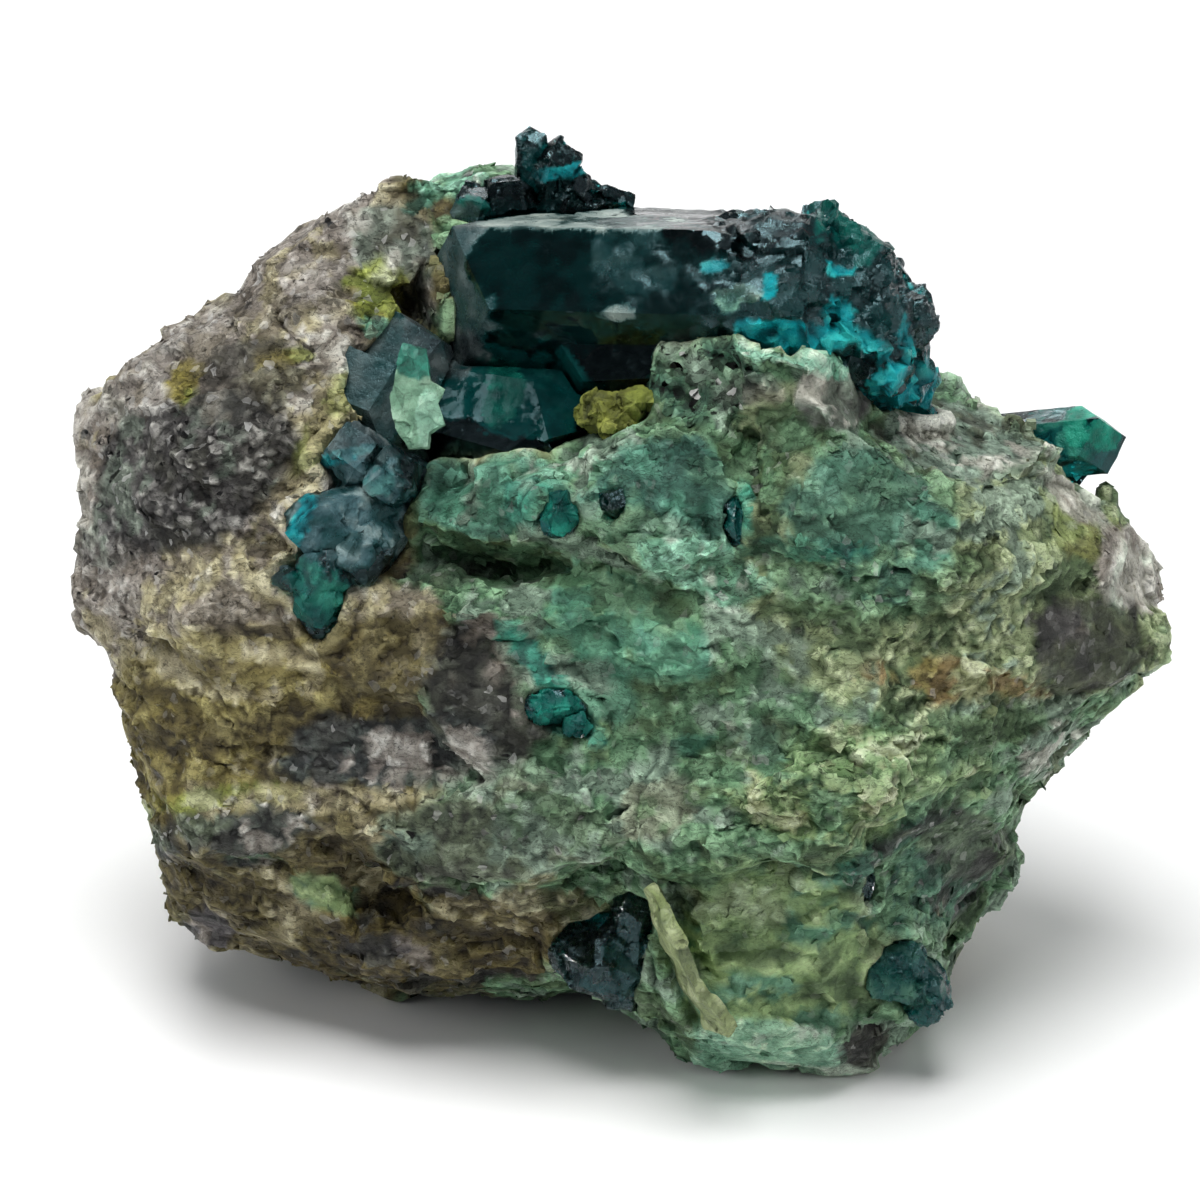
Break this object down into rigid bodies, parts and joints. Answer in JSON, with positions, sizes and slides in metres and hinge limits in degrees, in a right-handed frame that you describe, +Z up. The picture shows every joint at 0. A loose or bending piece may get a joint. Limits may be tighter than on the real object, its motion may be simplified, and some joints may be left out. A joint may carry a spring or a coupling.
{
  "type": "dioptase mineral specimen",
  "caption": "Dark emerald dioptase prisms grown on a block of foliated quartz rock with green copper-silicate crust, standing on its flat broken base.",
  "frame": {"origin": "On the flat broken base, under the middle of the block.", "axes": "+X to the viewer's right, -Y towards the viewer, +Z up."},
  "size_m": [0.0672, 0.0436, 0.0518],
  "materials": {
    "rock": "rough broken foliated quartz rock with green copper-silicate crust",
    "dioptase": "glassy dark blackish-teal crystal, emerald where thin",
    "druse": "etched and striated teal crystal",
    "ochre": "crumbly olive-yellow crust",
    "crust": "matte sage-green crust flake",
    "shell": "thin cream shell-like flake"
  },
  "bodies": {
    "root": {"matrix": "rock", "main_crystal": "dioptase", "left_crystal_pair": "dioptase", "pocket_crystal": "dioptase", "top_crystals": "dioptase", "right_crystal": "dioptase", "left_druse": "druse", "yellow_knob": "ochre", "round_crystal": "druse", "emerald_crystal": "druse", "seam_crystal": "druse", "teal_crystal": "druse", "slot_crystal": "druse", "lower_crystal": "druse", "corner_crystal": "druse", "fringe_crystal": "druse", "green_flake": "crust", "curled_flake": "shell"}
  },
  "joints": []
}
